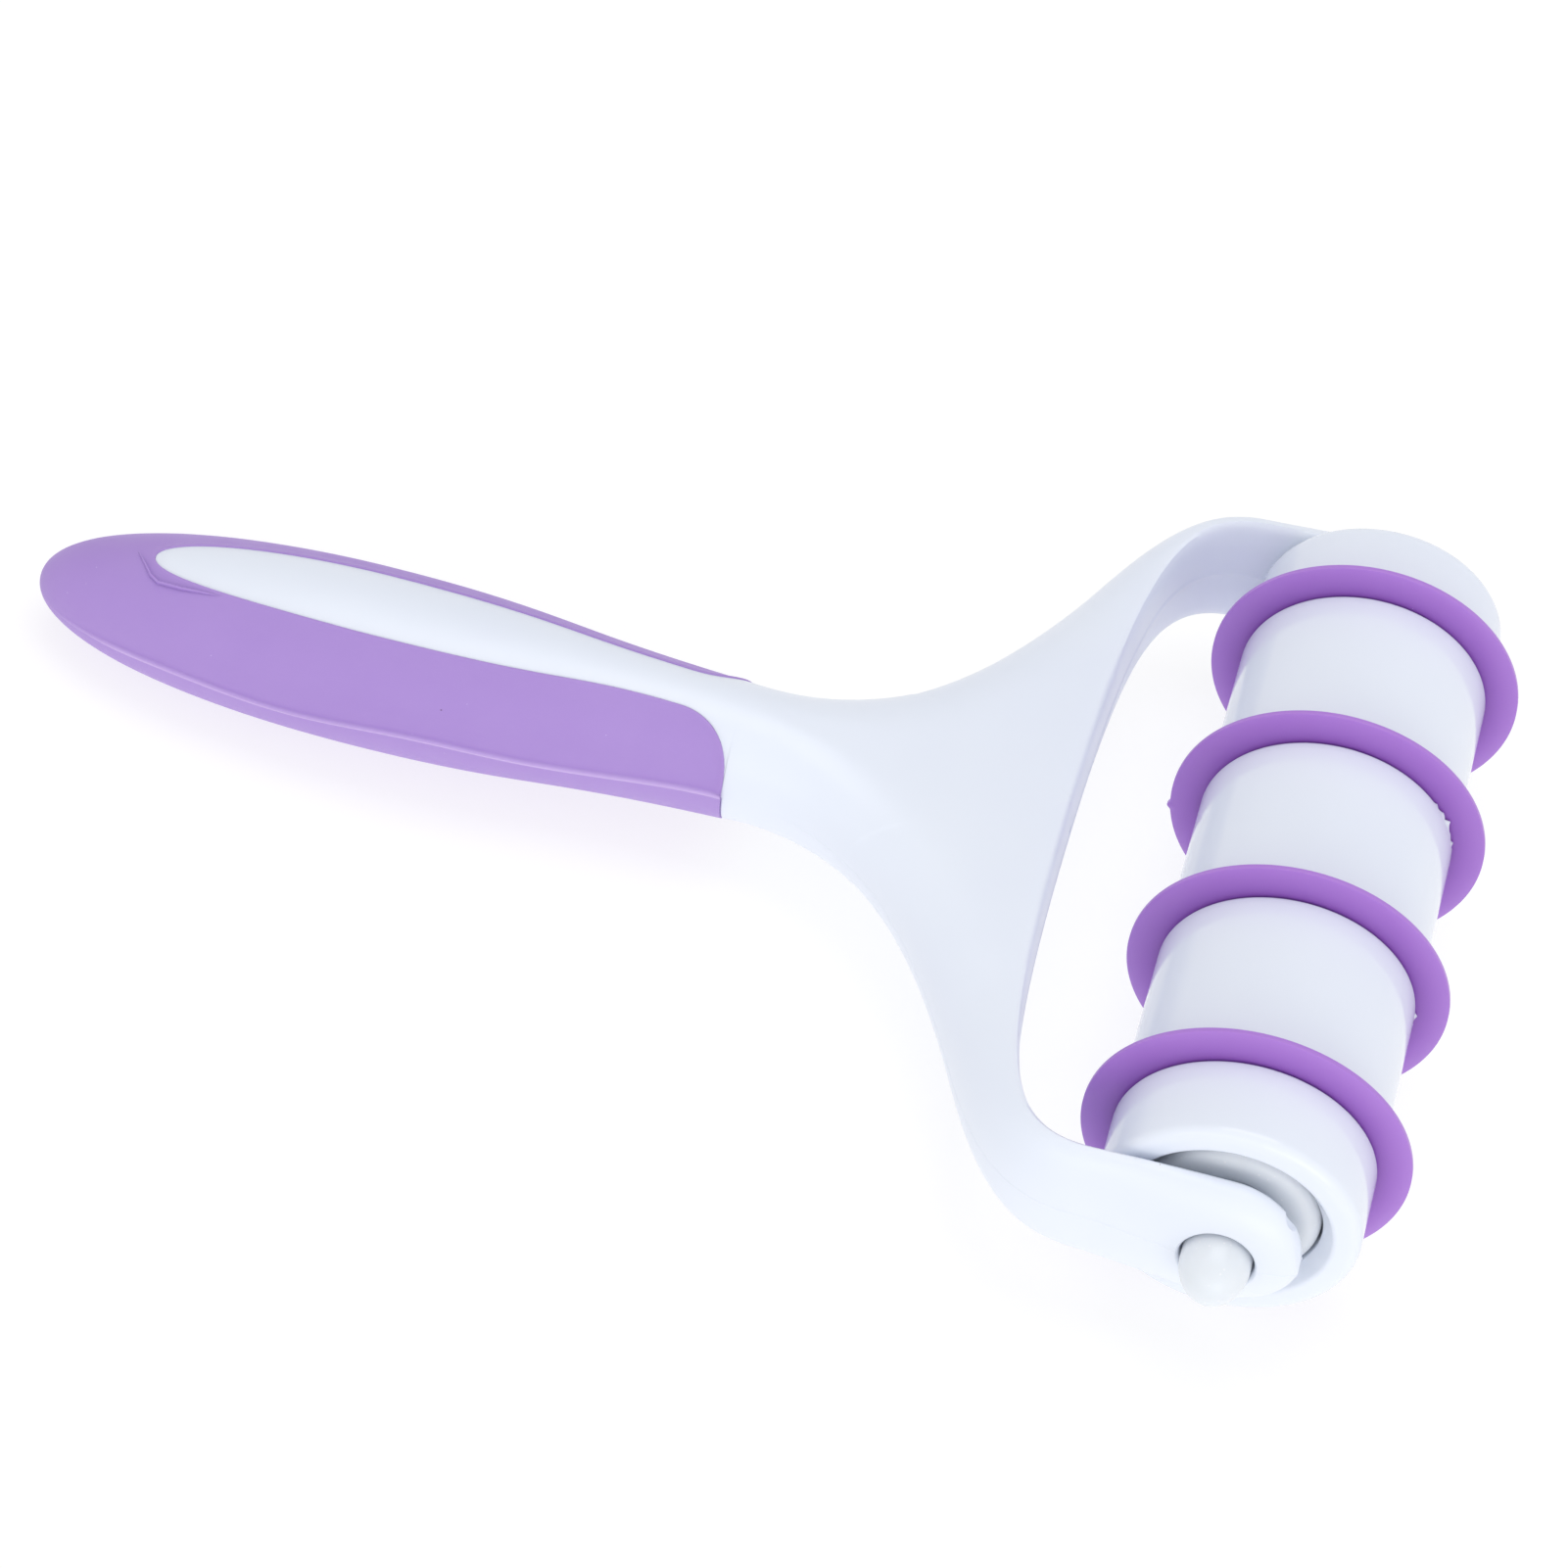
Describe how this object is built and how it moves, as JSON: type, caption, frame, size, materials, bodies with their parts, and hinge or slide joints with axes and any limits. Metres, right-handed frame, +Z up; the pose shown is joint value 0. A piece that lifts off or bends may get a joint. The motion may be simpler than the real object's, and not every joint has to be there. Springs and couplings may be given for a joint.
{
  "type": "pastry roller cutter",
  "caption": "Hand-held pastry roller cutter: a forked white handle with a soft purple grip carries a free-turning roller of purple cutting discs set apart by white spacers.",
  "frame": {"origin": "on the surface that the tool lies on, under the centre of its box", "axes": "+X along the handle towards the roller, +Y along the roller's axis to its far end, +Z up"},
  "size_m": [0.1764, 0.1222, 0.0381],
  "materials": {
    "white_plastic": "glossy white moulded plastic with a cool cast",
    "soft_grip": "satin purple soft-touch elastomer",
    "purple_plastic": "satin purple moulded plastic, a little translucent at the edge",
    "natural_plastic": "milky natural plastic"
  },
  "bodies": {
    "handle": {"handle_frame": "white_plastic", "handle_grip": "soft_grip"},
    "roller": {"roller_core": "natural_plastic", "cutting_disc_1": "purple_plastic", "cutting_disc_2": "purple_plastic", "cutting_disc_3": "purple_plastic", "cutting_disc_4": "purple_plastic", "spacer_1": "white_plastic", "spacer_2": "white_plastic", "spacer_3": "white_plastic", "end_spacer_near": "white_plastic", "end_spacer_far": "white_plastic", "end_hub_near": "natural_plastic", "end_hub_far": "natural_plastic"}
  },
  "joints": [
    {"name": "roller_spin", "type": "hinge", "parent": "handle", "child": "roller", "pos_m": [0.06919, 0.0004, 0.01905], "axis": [0, 1, 0], "continuous": true}
  ]
}
